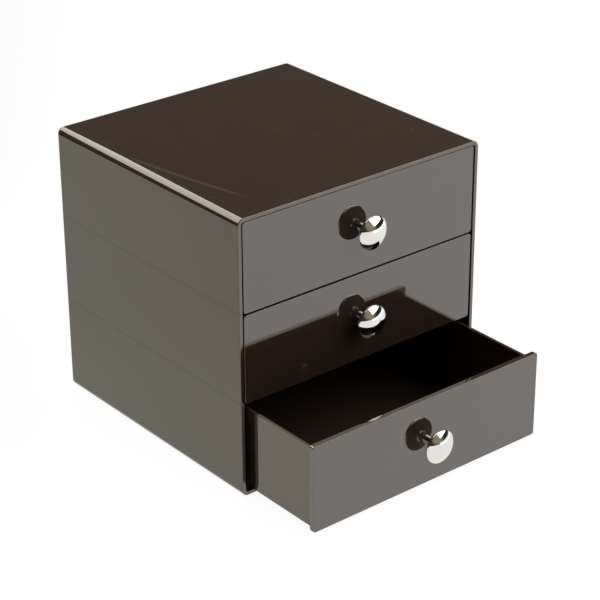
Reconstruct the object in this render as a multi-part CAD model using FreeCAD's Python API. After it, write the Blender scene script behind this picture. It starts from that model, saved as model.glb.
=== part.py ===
"""Countertop organizer with three stacked drawers.

One moulded casing carries three identical drawers on stepped runners. Each drawer is a tray
with a face panel bonded to its front wall, and a turned mushroom knob held from inside by a
machine screw and a washer. Four bumper pads sit in shallow pockets under the base.

Frame: +Z up, +X to the right seen from the front, and the fronts look along -Y. The origin is
the centre of the casing's flat base. All sizes are in millimetres.
"""
import FreeCAD, Part
import math
import os

# ---- casing ---------------------------------------------------------------------------
CASE_WIDTH = 165.1
CASE_DEPTH = 162.0
CASE_HEIGHT = 161.0
CASE_WALL = 2.3
CASE_LONG_EDGE_RADIUS = 4.0  # the four edges that run front to back
CASE_BACK_EDGE_RADIUS = 1.5
RIM_EDGE_CHAMFER = 0.4  # outer edge of the open front's rim

# ---- stack of drawers -----------------------------------------------------------------
DRAWER_POSITIONS = ("bottom", "middle", "top")
REST_OPENING = {"bottom": 55.0, "middle": 0.0, "top": 0.0}  # how far each stands open

# ---- face panels ----------------------------------------------------------------------
FACE_THICKNESS = 3.0
FACE_CORNER_RADIUS = 1.5
FACE_EDGE_CHAMFER = 0.4
FACE_INSET = 0.3  # front surface behind the casing's rim
FACE_SIDE_GAP = 0.9
FACE_GAP_BETWEEN = 1.1
FACE_GAP_BELOW = 0.9
FACE_GAP_ABOVE = 0.4

# ---- drawer trays ---------------------------------------------------------------------
TRAY_WALL = 2.0
TRAY_FLOOR = 2.0
TRAY_DRAFT_DEGREES = 0.6  # inner side and back walls lean outwards towards the rim
TRAY_SIDE_CLEARANCE = 3.2  # to the casing's side wall
TRAY_BACK_CLEARANCE = 1.5
TRAY_RISE = 1.0  # underside above the face's lower edge
TRAY_RIM_DROP = 3.3  # rim below the face's upper edge
TRAY_BACK_CORNER_RADIUS = 4.0
TRAY_POCKET_CORNER_RADIUS = 3.0
TRAY_FRONT_CORNER_RADIUS = 1.0
TRAY_BOTTOM_RADIUS = 1.5
TRAY_FLOOR_CHAMFER = 1.2  # round the floor, inside

# ---- runners inside the casing --------------------------------------------------------
RUNNER_THICKNESS = 2.2
RUNNER_BEARING = 4.3  # width that lies under each side of a tray
RUNNER_STOP_CLEARANCE = 0.2  # behind a closed face
GUIDE_CLEARANCE = 0.4  # each side, between the tray and the runner's shoulder
GUIDE_HEIGHT = 2.5

# ---- knobs ----------------------------------------------------------------------------
KNOB_DIAMETER = 19.2
KNOB_NECK_DIAMETER = 5.2
KNOB_BACK_AT = 6.4  # where the neck meets the head, measured out from the face
KNOB_BACK_FILLET = 1.3
KNOB_RIM_AT = 8.5  # widest section
KNOB_RIM_HALF_HEIGHT = 0.9
KNOB_PROJECTION = 12.8
KNOB_BORE_DEPTH = 7.2

# ---- knob screw (M3 pan head) and washer ----------------------------------------------
SCREW_DIAMETER = 3.0
SCREW_THREAD_CLEARANCE = 0.05  # radial, in the knob's tapped bore
SCREW_HOLE_CLEARANCE = 0.2  # radial, through the washer, tray and face
SCREW_ENGAGEMENT = 6.0
SCREW_HEAD_DIAMETER = 5.6
SCREW_HEAD_HEIGHT = 2.0
SCREW_HEAD_CHAMFER = 0.7
SCREW_RECESS_WIDTH = 0.8
SCREW_RECESS_LENGTH = 3.0
SCREW_RECESS_DEPTH = 1.1
WASHER_DIAMETER = 7.0
WASHER_THICKNESS = 0.5

# ---- bumper pads ----------------------------------------------------------------------
PAD_DIAMETER = 12.0
PAD_THICKNESS = 1.5
PAD_POCKET_DEPTH = 0.7
PAD_POCKET_CLEARANCE = 0.3  # radial
PAD_INSET = 15.0  # pad centre from each side of the base
PAD_EDGE_CHAMFER = 0.4

# ---- sizes that follow from those above -----------------------------------------------
CASE_FRONT_Y = -CASE_DEPTH / 2
INNER_WIDTH = CASE_WIDTH - 2 * CASE_WALL
INNER_HEIGHT = CASE_HEIGHT - 2 * CASE_WALL
INNER_BACK_Y = CASE_DEPTH / 2 - CASE_WALL

DRAWER_COUNT = len(DRAWER_POSITIONS)
FACE_WIDTH = INNER_WIDTH - 2 * FACE_SIDE_GAP
FACE_GAPS = FACE_GAP_BELOW + FACE_GAP_ABOVE + (DRAWER_COUNT - 1) * FACE_GAP_BETWEEN
FACE_HEIGHT = (INNER_HEIGHT - FACE_GAPS) / DRAWER_COUNT
DRAWER_PITCH = FACE_HEIGHT + FACE_GAP_BETWEEN
FACE_BOTTOM_Z = CASE_WALL + FACE_GAP_BELOW  # of the lowest drawer
FACE_FRONT_Y = CASE_FRONT_Y + FACE_INSET
FACE_BACK_Y = FACE_FRONT_Y + FACE_THICKNESS

TRAY_WIDTH = INNER_WIDTH - 2 * TRAY_SIDE_CLEARANCE
TRAY_BOTTOM_Z = FACE_BOTTOM_Z + TRAY_RISE
TRAY_HEIGHT = FACE_HEIGHT - TRAY_RISE - TRAY_RIM_DROP
TRAY_BACK_Y = INNER_BACK_Y - TRAY_BACK_CLEARANCE
TRAY_DRAFT = (TRAY_HEIGHT - TRAY_FLOOR) * math.tan(math.radians(TRAY_DRAFT_DEGREES))

KNOB_CENTRE_Z = FACE_BOTTOM_Z + FACE_HEIGHT / 2
SCREW_HOLE_RADIUS = SCREW_DIAMETER / 2 + SCREW_HOLE_CLEARANCE
WASHER_FRONT_Y = FACE_BACK_Y + TRAY_WALL
SCREW_HEAD_FRONT_Y = WASHER_FRONT_Y + WASHER_THICKNESS

UP = FreeCAD.Vector(0, 0, 1)
BACKWARDS = FreeCAD.Vector(0, 1, 0)
FORWARDS = FreeCAD.Vector(0, -1, 0)


# ---- helpers --------------------------------------------------------------------------
def rounded_wire(corners, radii):
    """Closed wire through the corners in order, each corner rounded by its own radius."""
    arcs = []
    for index, corner in enumerate(corners):
        before = (corners[index - 1] - corner).normalize()
        after = (corners[(index + 1) % len(corners)] - corner).normalize()
        radius = radii[index]
        middle = (before + after).normalize() * radius * (math.sqrt(2) - 1)
        arcs.append((corner + before * radius, corner + middle, corner + after * radius))
    edges = []
    for index, (start, middle, end) in enumerate(arcs):
        previous_end = arcs[index - 1][2]
        edges.append(Part.LineSegment(previous_end, start).toShape())
        edges.append(Part.Arc(start, middle, end).toShape())
    return Part.Wire(edges)


def upright_rectangle(width, bottom, top, radius, y):
    """Rounded rectangle that faces forwards, centred on X."""
    half = width / 2
    corners = [
        FreeCAD.Vector(-half, y, bottom),
        FreeCAD.Vector(half, y, bottom),
        FreeCAD.Vector(half, y, top),
        FreeCAD.Vector(-half, y, top),
    ]
    return rounded_wire(corners, [radius] * 4)


def level_rectangle(width, front, back, front_radius, back_radius, z):
    """Rounded rectangle that lies level, centred on X."""
    half = width / 2
    corners = [
        FreeCAD.Vector(-half, front, z),
        FreeCAD.Vector(half, front, z),
        FreeCAD.Vector(half, back, z),
        FreeCAD.Vector(-half, back, z),
    ]
    return rounded_wire(corners, [front_radius, front_radius, back_radius, back_radius])


def prism(wire, direction, length):
    """Solid swept straight from a closed flat wire."""
    return Part.Face(wire).extrude(direction * length)


def edges_in_plane(solid, axis, position):
    """Edges of the solid that lie wholly in the plane where one coordinate has a value."""
    tolerance = 1e-4
    low, high = axis + "Min", axis + "Max"
    return [
        edge
        for edge in solid.Edges
        if abs(getattr(edge.BoundBox, low) - position) < tolerance
        and abs(getattr(edge.BoundBox, high) - position) < tolerance
    ]


def disc(radius, thickness, centre, direction):
    """Plain round slug."""
    return Part.makeCylinder(radius, thickness, centre, direction)


# ---- casing ---------------------------------------------------------------------------
def runner(side, tray_underside):
    """Stepped rail on one side wall: a shelf under the tray and a shoulder beside it."""
    wall_x = side * INNER_WIDTH / 2
    root_x = wall_x + side * CASE_WALL / 2  # buried in the wall, so that the two fuse
    shoulder_x = side * (TRAY_WIDTH / 2 + GUIDE_CLEARANCE)
    nose_x = side * (TRAY_WIDTH / 2 - RUNNER_BEARING)
    underside = tray_underside - RUNNER_THICKNESS
    shoulder_top = tray_underside + GUIDE_HEIGHT
    front = FACE_BACK_Y + RUNNER_STOP_CLEARANCE
    outline = [
        (root_x, underside),
        (nose_x, underside),
        (nose_x, tray_underside),
        (shoulder_x, tray_underside),
        (shoulder_x, shoulder_top),
        (root_x, shoulder_top),
    ]
    points = [FreeCAD.Vector(x, front, z) for x, z in outline]
    wire = Part.makePolygon(points + points[:1])
    return prism(wire, BACKWARDS, INNER_BACK_Y + CASE_WALL / 2 - front)


def pad_centres():
    """Name and place of each bumper pad under the base."""
    x = CASE_WIDTH / 2 - PAD_INSET
    y = CASE_DEPTH / 2 - PAD_INSET
    return {
        "front_left": (-x, -y),
        "front_right": (x, -y),
        "back_left": (-x, y),
        "back_right": (x, y),
    }


def casing_shell():
    """Moulded box, open at the front, with its runners and the pad pockets."""
    outer = prism(
        upright_rectangle(CASE_WIDTH, 0, CASE_HEIGHT, CASE_LONG_EDGE_RADIUS, CASE_FRONT_Y),
        BACKWARDS,
        CASE_DEPTH,
    )
    outer = outer.makeFillet(
        CASE_BACK_EDGE_RADIUS, edges_in_plane(outer, "Y", CASE_DEPTH / 2)
    )
    outer = outer.makeChamfer(RIM_EDGE_CHAMFER, edges_in_plane(outer, "Y", CASE_FRONT_Y))
    cavity = prism(
        upright_rectangle(
            INNER_WIDTH,
            CASE_WALL,
            CASE_HEIGHT - CASE_WALL,
            CASE_LONG_EDGE_RADIUS - CASE_WALL,
            CASE_FRONT_Y,
        ),
        BACKWARDS,
        CASE_DEPTH - CASE_WALL,
    )
    shell = outer.cut(cavity)
    for level in range(DRAWER_COUNT):
        for side in (-1, 1):
            shell = shell.fuse(runner(side, TRAY_BOTTOM_Z + level * DRAWER_PITCH))
    pocket_radius = PAD_DIAMETER / 2 + PAD_POCKET_CLEARANCE
    for x, y in pad_centres().values():
        shell = shell.cut(
            disc(pocket_radius, PAD_POCKET_DEPTH, FreeCAD.Vector(x, y, 0), UP)
        )
    return shell.removeSplitter()


def bumper_pad(x, y):
    """Soft disc that stands out of its pocket by what the pocket doesn't take."""
    lowest = PAD_POCKET_DEPTH - PAD_THICKNESS
    pad = disc(PAD_DIAMETER / 2, PAD_THICKNESS, FreeCAD.Vector(x, y, lowest), UP)
    return pad.makeChamfer(PAD_EDGE_CHAMFER, edges_in_plane(pad, "Z", lowest))


# ---- drawer, drawn closed in the lowest place -----------------------------------------
def screw_hole():
    """Cutter for the screw's way through the tray's front wall and the face."""
    centre = FreeCAD.Vector(0, FACE_FRONT_Y, KNOB_CENTRE_Z)
    return disc(SCREW_HOLE_RADIUS, FACE_THICKNESS + TRAY_WALL, centre, BACKWARDS)


def pocket_outline(inset, z):
    """Section of the tray's inside, drawn in from its rim on both sides and at the back."""
    radius = TRAY_POCKET_CORNER_RADIUS - inset
    return level_rectangle(
        TRAY_WIDTH - 2 * (TRAY_WALL + inset),
        WASHER_FRONT_Y,
        TRAY_BACK_Y - TRAY_WALL - inset,
        radius,
        radius,
        z,
    )


def drawer_tray():
    """Open tray with rounded back corners, a drafted inside and a chamfered floor."""
    outer = prism(
        level_rectangle(
            TRAY_WIDTH,
            FACE_BACK_Y,
            TRAY_BACK_Y,
            TRAY_FRONT_CORNER_RADIUS,
            TRAY_BACK_CORNER_RADIUS,
            TRAY_BOTTOM_Z,
        ),
        UP,
        TRAY_HEIGHT,
    )
    bottom_edges = [
        edge
        for edge in edges_in_plane(outer, "Z", TRAY_BOTTOM_Z)
        if edge.CenterOfMass.y > FACE_BACK_Y + TRAY_FRONT_CORNER_RADIUS
    ]
    outer = outer.makeFillet(TRAY_BOTTOM_RADIUS, bottom_edges)
    floor_z = TRAY_BOTTOM_Z + TRAY_FLOOR
    rim_z = TRAY_BOTTOM_Z + TRAY_HEIGHT
    sections = [
        pocket_outline(TRAY_DRAFT + TRAY_FLOOR_CHAMFER, floor_z),
        pocket_outline(TRAY_DRAFT, floor_z + TRAY_FLOOR_CHAMFER),
        pocket_outline(0, rim_z),
    ]
    inside = Part.makeLoft(sections, True, True)
    return outer.cut(inside).cut(screw_hole())


def drawer_face():
    """Flat panel with rounded corners and a softened front edge."""
    panel = prism(
        upright_rectangle(
            FACE_WIDTH,
            FACE_BOTTOM_Z,
            FACE_BOTTOM_Z + FACE_HEIGHT,
            FACE_CORNER_RADIUS,
            FACE_FRONT_Y,
        ),
        BACKWARDS,
        FACE_THICKNESS,
    )
    panel = panel.makeChamfer(FACE_EDGE_CHAMFER, edges_in_plane(panel, "Y", FACE_FRONT_Y))
    return panel.cut(screw_hole())


def fillet_arc(before, corner, after, radius):
    """Arc that rounds the corner between two straight lines, with its ends on them."""
    to_before = (before - corner).normalize()
    to_after = (after - corner).normalize()
    half_angle = to_before.getAngle(to_after) / 2
    reach = radius / math.tan(half_angle)
    middle = (to_before + to_after).normalize() * (radius / math.sin(half_angle) - radius)
    return Part.Arc(corner + to_before * reach, corner + middle, corner + to_after * reach)


def dome_arc(edge, crown):
    """Arc from the dome's edge to its crown, with its centre on the axis."""
    rise = crown.y - edge.y
    radius = (edge.x**2 + rise**2) / (2 * rise)
    centre = crown - FreeCAD.Vector(0, radius, 0)
    towards_middle = ((edge - centre) + (crown - centre)).normalize()
    return Part.Arc(edge, centre + towards_middle * radius, crown)


def knob():
    """Mushroom knob: a turned profile spun about its own axis, with a blind tapped bore."""
    rim_radius = KNOB_DIAMETER / 2
    bead_radius = rim_radius - KNOB_RIM_HALF_HEIGHT / 2
    foot = FreeCAD.Vector(0, 0, 0)
    neck = FreeCAD.Vector(KNOB_NECK_DIAMETER / 2, 0, 0)
    back = FreeCAD.Vector(KNOB_NECK_DIAMETER / 2, KNOB_BACK_AT, 0)
    rim_back = FreeCAD.Vector(bead_radius, KNOB_RIM_AT - KNOB_RIM_HALF_HEIGHT, 0)
    rim = FreeCAD.Vector(rim_radius, KNOB_RIM_AT, 0)
    rim_front = FreeCAD.Vector(bead_radius, KNOB_RIM_AT + KNOB_RIM_HALF_HEIGHT, 0)
    crown = FreeCAD.Vector(0, KNOB_PROJECTION, 0)
    fillet = fillet_arc(neck, back, rim_back, KNOB_BACK_FILLET)
    profile = [
        Part.LineSegment(foot, neck),
        Part.LineSegment(neck, fillet.StartPoint),
        fillet,
        Part.LineSegment(fillet.EndPoint, rim_back),
        Part.Arc(rim_back, rim, rim_front),
        dome_arc(rim_front, crown),
        Part.LineSegment(crown, foot),
    ]
    outline = Part.Wire([segment.toShape() for segment in profile])
    body = Part.Face(outline).revolve(foot, BACKWARDS, 360)
    bore_radius = SCREW_DIAMETER / 2 + SCREW_THREAD_CLEARANCE
    body = body.cut(disc(bore_radius, KNOB_BORE_DEPTH, foot, BACKWARDS))
    body.rotate(foot, UP, 180)
    return body.translated(FreeCAD.Vector(0, FACE_FRONT_Y, KNOB_CENTRE_Z))


def knob_washer():
    """Flat ring between the screw's head and the tray's front wall."""
    centre = FreeCAD.Vector(0, WASHER_FRONT_Y, KNOB_CENTRE_Z)
    ring = disc(WASHER_DIAMETER / 2, WASHER_THICKNESS, centre, BACKWARDS)
    return ring.cut(disc(SCREW_HOLE_RADIUS, WASHER_THICKNESS, centre, BACKWARDS))


def knob_screw():
    """Pan head machine screw with a cross recess."""
    seat = FreeCAD.Vector(0, SCREW_HEAD_FRONT_Y, KNOB_CENTRE_Z)
    top_y = SCREW_HEAD_FRONT_Y + SCREW_HEAD_HEIGHT
    head = disc(SCREW_HEAD_DIAMETER / 2, SCREW_HEAD_HEIGHT, seat, BACKWARDS)
    head = head.makeChamfer(SCREW_HEAD_CHAMFER, edges_in_plane(head, "Y", top_y))
    shank_length = SCREW_HEAD_FRONT_Y - FACE_FRONT_Y + SCREW_ENGAGEMENT
    screw = head.fuse(disc(SCREW_DIAMETER / 2, shank_length, seat, FORWARDS))
    for along, across in (
        (SCREW_RECESS_LENGTH, SCREW_RECESS_WIDTH),
        (SCREW_RECESS_WIDTH, SCREW_RECESS_LENGTH),
    ):
        corner = FreeCAD.Vector(
            -along / 2, top_y - SCREW_RECESS_DEPTH, KNOB_CENTRE_Z - across / 2
        )
        screw = screw.cut(Part.makeBox(along, SCREW_RECESS_DEPTH, across, corner))
    return screw


# ---- assembly -------------------------------------------------------------------------
def assembly():
    """Every piece by its node name, in its place."""
    nodes = {"casing_shell": casing_shell()}
    for corner, (x, y) in pad_centres().items():
        nodes["bumper_pad_" + corner] = bumper_pad(x, y)
    drawer = {
        "drawer_tray": drawer_tray(),
        "drawer_face": drawer_face(),
        "knob": knob(),
        "knob_washer": knob_washer(),
        "knob_screw": knob_screw(),
    }
    for level, position in enumerate(DRAWER_POSITIONS):
        place = FreeCAD.Vector(0, -REST_OPENING[position], level * DRAWER_PITCH)
        for name, piece in drawer.items():
            nodes[name + "_" + position] = piece.translated(place)
    return nodes


def main():
    os.makedirs("parts", exist_ok=True)
    for name, shape in assembly().items():
        shape.exportStep(os.path.join("parts", name + ".step"))
        print(f"{name}: {len(shape.Solids)} solid, {shape.Volume:.0f} mm3")


main()
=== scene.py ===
"""Looks of a small countertop organizer: a glossy casing with three sliding drawers.

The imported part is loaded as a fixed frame. The casing, trays, faces and knobs are modelled
again over their solids with rounded edges, and the fasteners and pads keep their own solids.
Everything is in metres, +Z up, with the drawer fronts towards -Y.
"""

import logging
import math
from collections.abc import Iterable
from dataclasses import dataclass
from enum import Enum

import bmesh
import bpy
from mathutils import Matrix, Vector

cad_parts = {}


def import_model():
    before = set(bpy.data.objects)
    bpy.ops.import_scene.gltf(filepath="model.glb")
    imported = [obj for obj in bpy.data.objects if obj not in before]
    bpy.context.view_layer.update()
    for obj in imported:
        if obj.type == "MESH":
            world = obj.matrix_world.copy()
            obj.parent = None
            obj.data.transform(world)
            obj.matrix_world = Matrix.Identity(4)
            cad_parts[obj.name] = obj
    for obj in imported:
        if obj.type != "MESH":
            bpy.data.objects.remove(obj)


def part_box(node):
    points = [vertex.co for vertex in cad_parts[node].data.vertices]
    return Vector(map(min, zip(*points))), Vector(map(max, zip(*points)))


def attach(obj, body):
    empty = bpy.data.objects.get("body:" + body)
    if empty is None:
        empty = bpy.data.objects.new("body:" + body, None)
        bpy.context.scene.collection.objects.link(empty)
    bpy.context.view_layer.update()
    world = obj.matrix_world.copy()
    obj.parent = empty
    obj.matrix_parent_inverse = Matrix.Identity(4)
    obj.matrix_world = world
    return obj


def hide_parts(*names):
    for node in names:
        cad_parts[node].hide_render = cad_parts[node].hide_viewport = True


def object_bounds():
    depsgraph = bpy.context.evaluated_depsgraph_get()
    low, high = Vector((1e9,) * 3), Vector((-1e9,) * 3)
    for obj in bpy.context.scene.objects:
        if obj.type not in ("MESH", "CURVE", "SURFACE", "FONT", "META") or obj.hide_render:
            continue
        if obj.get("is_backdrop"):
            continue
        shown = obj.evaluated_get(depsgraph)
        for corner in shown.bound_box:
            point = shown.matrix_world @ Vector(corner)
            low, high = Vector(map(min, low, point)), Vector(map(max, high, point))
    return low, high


LOG = logging.getLogger("organizer")
MM = 0.001
ON_PLANE = 0.01 * MM
SEAM = 0.002 * MM
SHARP_DEGREES = 40.0
SOLID_SEAM = 0.001 * MM
SOLID_SHARP_DEGREES = 30.0

Socket = bpy.types.NodeSocket
Colour = tuple[float, float, float]
Span = tuple[float, float]


class Axis(Enum):
    """An axis, as the index of its coordinate."""

    X = 0
    Y = 1
    Z = 2


class Level(Enum):
    """Place of a drawer in the stack, as it is written in the nodes' names."""

    BOTTOM = "bottom"
    MIDDLE = "middle"
    TOP = "top"


# ---- shader graphs ----------------------------------------------------------------------
@dataclass(frozen=True)
class Grain:
    """A noise pattern: its bumps per metre and how many finer layers it has."""

    scale: float
    detail: float


class Graph:
    """A node tree with short calls for the nodes that the finishes share."""

    def __init__(self, tree: bpy.types.NodeTree) -> None:
        """Starts an empty graph.

        Args:
            tree: the material's or world's node tree.
        """
        self.tree = tree
        self.tree.nodes.clear()

    def feed(self, target: Socket, value: object) -> None:
        """Gives an input its value.

        Args:
            target: the input.
            value: an output to link it to, or else a number, a vector or a colour.
        """
        if isinstance(value, Socket):
            self.tree.links.new(value, target)
        else:
            target.default_value = value

    def node(
        self, kind: str, inputs: dict[str | int, object] | None = None, **settings: object
    ) -> bpy.types.Node:
        """Adds a node.

        Args:
            kind: Blender's type name of the node.
            inputs: what its inputs are fed, by their names or places.
            settings: attributes to set on it.

        Returns:
            The new node.
        """
        made = self.tree.nodes.new(kind)
        for name, value in settings.items():
            setattr(made, name, value)
        for key, value in (inputs or {}).items():
            self.feed(made.inputs[key], value)
        return made

    def coordinates(self, kind: str) -> Socket:
        """The texture coordinates of one kind."""
        return self.node("ShaderNodeTexCoord").outputs[kind]

    def axes(self, vector: Socket) -> bpy.types.NodeOutputs:
        """The X, Y and Z of a vector, under these names."""
        return self.node("ShaderNodeSeparateXYZ", {"Vector": vector}).outputs

    def math(self, operation: str, *inputs: object, clamp: bool = False) -> Socket:
        """Adds a Math node.

        Args:
            operation: the node's operation.
            inputs: numbers or sockets, in the order of its inputs.
            clamp: True holds the result between 0 and 1.

        Returns:
            The result's socket.
        """
        made = self.node(
            "ShaderNodeMath", dict(enumerate(inputs)), operation=operation, use_clamp=clamp
        )
        return made.outputs[0]

    def flipped(self, value: Socket) -> Socket:
        """Turns 0 to 1 into 1 to 0."""
        return self.math("SUBTRACT", 1.0, value)

    def vector_math(self, operation: str, *inputs: object) -> bpy.types.NodeOutputs:
        """Adds a Vector Math node.

        Args:
            operation: the node's operation.
            inputs: vectors or sockets, in the order of its inputs.

        Returns:
            Its outputs, Vector and Value.
        """
        made = self.node("ShaderNodeVectorMath", dict(enumerate(inputs)), operation=operation)
        return made.outputs

    def smooth_step(self, value: Socket, low: float, high: float) -> Socket:
        """Rises softly from 0 at low to 1 at high.

        Args:
            value: the socket that is read.
            low: where the rise starts.
            high: where it ends.

        Returns:
            The result's socket.
        """
        made = self.node(
            "ShaderNodeMapRange",
            {"Value": value, "From Min": low, "From Max": high},
            interpolation_type="SMOOTHSTEP",
        )
        return made.outputs["Result"]

    def spread(self, value: Socket, low: float, high: float) -> Socket:
        """Maps a 0 to 1 pattern to another range.

        Args:
            value: the pattern.
            low: the result at 0.
            high: the result at 1.

        Returns:
            The result's socket.
        """
        made = self.node("ShaderNodeMapRange", {"Value": value, "To Min": low, "To Max": high})
        return made.outputs["Result"]

    def vary(self, pattern: Socket, value: float, factors: Span) -> Socket:
        """Takes a value from one multiple of it to another, along a 0 to 1 pattern."""
        return self.spread(pattern, value * factors[0], value * factors[1])

    def noise(self, vector: Socket, grain: Grain) -> Socket:
        """Adds a noise pattern.

        Args:
            vector: the coordinates that it follows.
            grain: how coarse it is.

        Returns:
            The pattern's value, about 0.5 on average.
        """
        made = self.node(
            "ShaderNodeTexNoise",
            {"Vector": vector, "Scale": grain.scale, "Detail": grain.detail},
        )
        return made.outputs["Fac"]

    def blend(self, factor: Socket, first: Colour | Socket, second: Colour | Socket) -> Socket:
        """Mixes two colours.

        Args:
            factor: 0 gives the first colour and 1 the second.
            first: linear red, green and blue, or a colour's socket.
            second: the same.

        Returns:
            The mixed colour's socket.
        """
        ends = {
            name: end if isinstance(end, Socket) else (*end, 1.0)
            for name, end in (("A", first), ("B", second))
        }
        made = self.node("ShaderNodeMix", {"Factor": factor, **ends}, data_type="RGBA")
        return made.outputs["Result"]

    def bump(self, height: Socket, depth: float, under: Socket | None = None) -> Socket:
        """Turns a height pattern into a surface normal.

        Args:
            height: 0 to 1 pattern.
            depth: how deep a height of 1 is, in metres.
            under: normal of the layer below, if there is one.

        Returns:
            The normal's socket.
        """
        made = self.node("ShaderNodeBump", {"Height": height, "Distance": depth})
        if under is not None:
            self.feed(made.inputs["Normal"], under)
        return made.outputs["Normal"]


# ---- marks on a finish ------------------------------------------------------------------
@dataclass(frozen=True)
class Dust:
    """A few pale specks of dust, at most one in each cell of a pattern.

    A speck fades over edge, in cells, and rarity is the share of the cells that stay clean.
    """

    strength: float = 0.22
    scale: float = 240.0
    edge: Span = (0.05, 0.14)
    rarity: float = 0.75
    colour: Colour = (0.42, 0.38, 0.34)

    def over(self, graph: Graph, place: Socket, under: Socket) -> Socket:
        """Scatters the specks over a colour.

        Args:
            graph: the material's graph.
            place: object coordinates.
            under: the clean colour.

        Returns:
            The colour with the specks.
        """
        cells = graph.node("ShaderNodeTexVoronoi", {"Vector": place, "Scale": self.scale}).outputs
        near = graph.flipped(graph.smooth_step(cells["Distance"], *self.edge))
        kept = graph.math("GREATER_THAN", graph.axes(cells["Color"])["X"], self.rarity)
        amount = graph.math("MULTIPLY", graph.math("MULTIPLY", near, kept), self.strength)
        return graph.blend(amount, under, self.colour)


@dataclass(frozen=True)
class PaintedRippleSheen:
    """A faint pale arc on a level surface, where the moulding drew in a little: a painted
    reflection, put in the colour while the surface stays flat.

    It runs from front_end to back_end in Y, and fades over half_width to each side, over fade
    at each end and over skin below the surface.
    """

    level: float
    # Colour of the painted reflection arc.
    colour: Colour = (0.080, 0.052, 0.043)
    centre: Span = (569.5 * MM, 101.9 * MM)
    radius: float = 651.4 * MM
    half_width: float = 1.9 * MM
    front_end: float = -66.0 * MM
    back_end: float = 26.0 * MM
    fade: float = 22.0 * MM
    skin: float = 0.2 * MM

    def over(self, graph: Graph, place: Socket, under: Socket) -> Socket:
        """Draws the arc over a colour.

        Args:
            graph: the material's graph.
            place: object coordinates.
            under: the colour without it.

        Returns:
            The colour with the arc.
        """
        flat = graph.vector_math("MULTIPLY", place, (1.0, 1.0, 0.0))["Vector"]
        out = graph.vector_math("DISTANCE", flat, (*self.centre, 0.0))["Value"]
        off = graph.math("ABSOLUTE", graph.math("SUBTRACT", out, self.radius))
        across = graph.smooth_step(off, 0.0, self.half_width)
        at = graph.axes(place)
        front = graph.smooth_step(at["Y"], self.front_end, self.front_end + self.fade)
        back = graph.smooth_step(at["Y"], self.back_end - self.fade, self.back_end)
        on_top = graph.smooth_step(at["Z"], self.level - self.skin, self.level)
        along = graph.math("MULTIPLY", front, graph.flipped(back))
        amount = graph.math("MULTIPLY", along, graph.flipped(across))
        # Blends the painted reflection arc into the base colour.
        return graph.blend(graph.math("MULTIPLY", amount, on_top), under, self.colour)


@dataclass(frozen=True)
class SinkMarks:
    """Shallow hollows that form outside a wall where ribs join it inside.

    The refraction is lower along the core of each hollow, which paints a dimmer reflection line
    there.
    """

    heights: tuple[float, ...]
    half_width: float = 3.5 * MM
    depth: float = 0.012 * MM
    core_half_width: float = 1.3 * MM
    reflection_dimming: float = 0.11

    def sunk(self, graph: Graph, place: Socket, normal: Socket) -> Socket:
        """The normal with the hollows in it."""
        return graph.bump(self._beside(graph, place, self.half_width), self.depth, normal)

    def dimmed_refraction(self, graph: Graph, place: Socket, refraction: Socket) -> Socket:
        """The refraction, lower along the middle of each hollow: a painted dimmer reflection line.
        """
        core = graph.flipped(self._beside(graph, place, self.core_half_width))
        return graph.math("SUBTRACT", refraction, graph.math("MULTIPLY", core, self.reflection_dimming))

    def _beside(self, graph: Graph, place: Socket, half_width: float) -> Socket:
        """Finds the hollows.

        Args:
            graph: the material's graph.
            place: object coordinates.
            half_width: how far a hollow reaches to each side.

        Returns:
            A value of 0 in the middle of a hollow and 1 beside it.
        """
        height = graph.axes(place)["Z"]
        total = None
        for middle in self.heights:
            away = graph.math("ABSOLUTE", graph.math("SUBTRACT", height, middle))
            mark = graph.smooth_step(away, 0.0, half_width)
            total = mark if total is None else graph.math("MINIMUM", total, mark)
        return total


# ---- finishes ---------------------------------------------------------------------------
@dataclass(frozen=True)
class Finish:
    """What every finish has: a name and a linear base colour."""

    name: str
    colour: Colour

    def shade(self, factor: float) -> Colour:
        """Base colour made lighter or darker by a factor."""
        return tuple(channel * factor for channel in self.colour)

    def mottled(self, graph: Graph, pattern: Socket, factors: Span) -> Socket:
        """Base colour that goes from one shade to another along a 0 to 1 pattern."""
        return graph.blend(pattern, self.shade(factors[0]), self.shade(factors[1]))

    def start(self) -> tuple[bpy.types.Material, Graph, bpy.types.NodeInputs, Socket]:
        """Makes the material with its shader and coordinates.

        Returns:
            The material, its graph, its Principled shader's inputs and its object coordinates.
        """
        made = bpy.data.materials.new(self.name)
        made.use_nodes = True
        graph = Graph(made.node_tree)
        shader = graph.node("ShaderNodeBsdfPrincipled")
        graph.node("ShaderNodeOutputMaterial", {"Surface": shader.outputs["BSDF"]})
        made.diffuse_color = (*self.colour, 1.0)
        return made, graph, shader.inputs, graph.coordinates("Object")


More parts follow.
